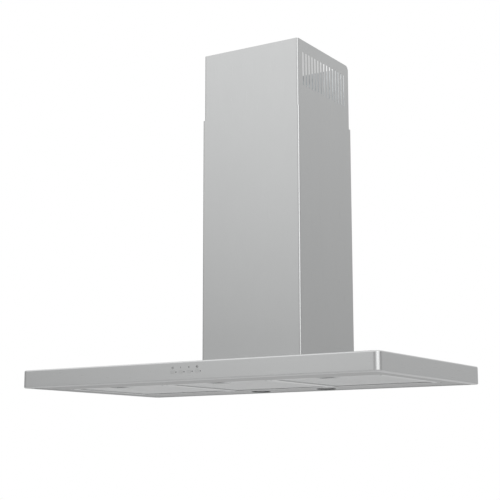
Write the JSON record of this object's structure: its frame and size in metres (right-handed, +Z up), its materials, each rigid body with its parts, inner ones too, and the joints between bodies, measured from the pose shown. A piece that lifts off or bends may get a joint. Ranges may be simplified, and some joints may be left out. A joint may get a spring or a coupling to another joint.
{
  "type": "range hood",
  "caption": "Wall-mounted chimney range hood: slim box canopy with hinged grease filters, lamps and push-buttons, telescoping covers over a centrifugal blower.",
  "frame": {"origin": "centre of the canopy's underside, midway between the wall face and the front face", "axes": "+Z up, +Y towards the wall, +X to the right for a person who faces the hood's front"},
  "size_m": [0.898, 0.51, 0.8],
  "materials": {
    "stainless_brushed": "brushed stainless",
    "button_steel": "brushed stainless",
    "galvanised_sheet": "galvanised",
    "zinc_plated_screws": "zinc plated",
    "impeller_galvanised": "galvanised",
    "ground_steel": "ground",
    "motor_enamel": "satin enamel",
    "sintered_bronze": "sintered",
    "cable_pvc": "satin PVC",
    "capacitor_white": "moulded",
    "black_plastic": "moulded",
    "grommet_rubber": "moulded",
    "grey_plastic": "moulded",
    "terminal_polyamide": "moulded",
    "circuit_board": "laminate",
    "indicator_clear": "clear moulded",
    "lamp_bezel": "satin chrome",
    "lamp_lens": "frosted",
    "lamp_heatsink": "die cast",
    "filter_frame_aluminium": "rolled",
    "filter_mesh_aluminium": "expanded mesh"
  },
  "bodies": {
    "hood": {"canopy_shell": "stainless_brushed", "underside_pan": "stainless_brushed", "back_plate": "galvanised_sheet", "blower_box": "galvanised_sheet", "body_screws": "zinc_plated_screws", "scroll_housing": "galvanised_sheet", "motor": "motor_enamel", "motor_bushes": "sintered_bronze", "motor_bracket": "galvanised_sheet", "motor_lead": "cable_pvc", "capacitor": "capacitor_white", "capacitor_clip": "galvanised_sheet", "outlet_collar": "black_plastic", "flap_pin": "ground_steel", "terminal_box": "grey_plastic", "terminal_box_lid": "grey_plastic", "terminal_block": "terminal_polyamide", "cable_gland": "black_plastic", "wiring_loom": "cable_pvc", "loom_grommet": "grommet_rubber", "control_box": "grey_plastic", "control_box_lid": "grey_plastic", "power_board": "circuit_board", "switch_board": "circuit_board", "button_switches": "black_plastic", "button_guide": "black_plastic", "indicator_lights": "indicator_clear", "lamp_bezel_left": "lamp_bezel", "lamp_bezel_right": "lamp_bezel", "lamp_lens_left": "lamp_lens", "lamp_lens_right": "lamp_lens", "lamp_module_left": "lamp_heatsink", "lamp_module_right": "lamp_heatsink", "lower_chimney": "stainless_brushed", "lower_cover_brackets": "galvanised_sheet", "cover_glides": "black_plastic"},
    "upper_cover": {"upper_chimney": "stainless_brushed", "upper_wall_bracket": "galvanised_sheet", "upper_cover_screws": "zinc_plated_screws"},
    "fan_wheel": {"impeller": "impeller_galvanised", "impeller_shaft": "ground_steel", "impeller_nut": "ground_steel"},
    "front_flap": {"flap_front": "black_plastic"},
    "rear_flap": {"flap_rear": "black_plastic"},
    "off_key": {"off_button": "button_steel"},
    "low_speed_key": {"low_speed_button": "button_steel"},
    "high_speed_key": {"high_speed_button": "button_steel"},
    "light_key": {"light_button": "button_steel"},
    "filter_left": {"filter_frame_left": "filter_frame_aluminium", "filter_mesh_left": "filter_mesh_aluminium"},
    "filter_middle": {"filter_frame_middle": "filter_frame_aluminium", "filter_mesh_middle": "filter_mesh_aluminium"},
    "filter_right": {"filter_frame_right": "filter_frame_aluminium", "filter_mesh_right": "filter_mesh_aluminium"},
    "latch_slide_left": {"latch_left": "grey_plastic"},
    "latch_slide_middle": {"latch_middle": "grey_plastic"},
    "latch_slide_right": {"latch_right": "grey_plastic"}
  },
  "joints": [
    {"name": "upper_cover_slide", "type": "slide", "parent": "hood", "child": "upper_cover", "axis": [0, 0, 1], "range_m": [-0.14, 0.335]},
    {"name": "fan_spin", "type": "hinge", "parent": "hood", "child": "fan_wheel", "pos_m": [0, 0.14297, 0.16215], "axis": [1, 0, 0], "continuous": true},
    {"name": "front_flap_swing", "type": "hinge", "parent": "hood", "child": "front_flap", "pos_m": [0, 0.15075, 0.344], "axis": [-1, 0, 0], "range_deg": [0, 80]},
    {"name": "rear_flap_swing", "type": "hinge", "parent": "hood", "child": "rear_flap", "pos_m": [0, 0.15075, 0.344], "axis": [1, 0, 0], "range_deg": [0, 80]},
    {"name": "off_press", "type": "slide", "parent": "hood", "child": "off_key", "axis": [0, 1, 0], "range_m": [0, 0.0012], "stiffness_N_per_m": 500, "springref_m": -0.0006},
    {"name": "low_speed_press", "type": "slide", "parent": "hood", "child": "low_speed_key", "axis": [0, 1, 0], "range_m": [0, 0.0012], "stiffness_N_per_m": 500, "springref_m": -0.0006},
    {"name": "high_speed_press", "type": "slide", "parent": "hood", "child": "high_speed_key", "axis": [0, 1, 0], "range_m": [0, 0.0012], "stiffness_N_per_m": 500, "springref_m": -0.0006},
    {"name": "light_press", "type": "slide", "parent": "hood", "child": "light_key", "axis": [0, 1, 0], "range_m": [0, 0.0012], "stiffness_N_per_m": 500, "springref_m": -0.0006},
    {"name": "filter_left_swing", "type": "hinge", "parent": "hood", "child": "filter_left", "pos_m": [-0.26833, 0.148, 0.0029], "axis": [1, 0, 0], "range_deg": [0, 60]},
    {"name": "filter_middle_swing", "type": "hinge", "parent": "hood", "child": "filter_middle", "pos_m": [0, 0.148, 0.0029], "axis": [1, 0, 0], "range_deg": [0, 60]},
    {"name": "filter_right_swing", "type": "hinge", "parent": "hood", "child": "filter_right", "pos_m": [0.26833, 0.148, 0.0029], "axis": [1, 0, 0], "range_deg": [0, 60]},
    {"name": "latch_left_slide", "type": "slide", "parent": "filter_left", "child": "latch_slide_left", "axis": [0, 1, 0], "range_m": [0, 0.006], "stiffness_N_per_m": 200, "springref_m": -0.002},
    {"name": "latch_middle_slide", "type": "slide", "parent": "filter_middle", "child": "latch_slide_middle", "axis": [0, 1, 0], "range_m": [0, 0.006], "stiffness_N_per_m": 200, "springref_m": -0.002},
    {"name": "latch_right_slide", "type": "slide", "parent": "filter_right", "child": "latch_slide_right", "axis": [0, 1, 0], "range_m": [0, 0.006], "stiffness_N_per_m": 200, "springref_m": -0.002}
  ]
}
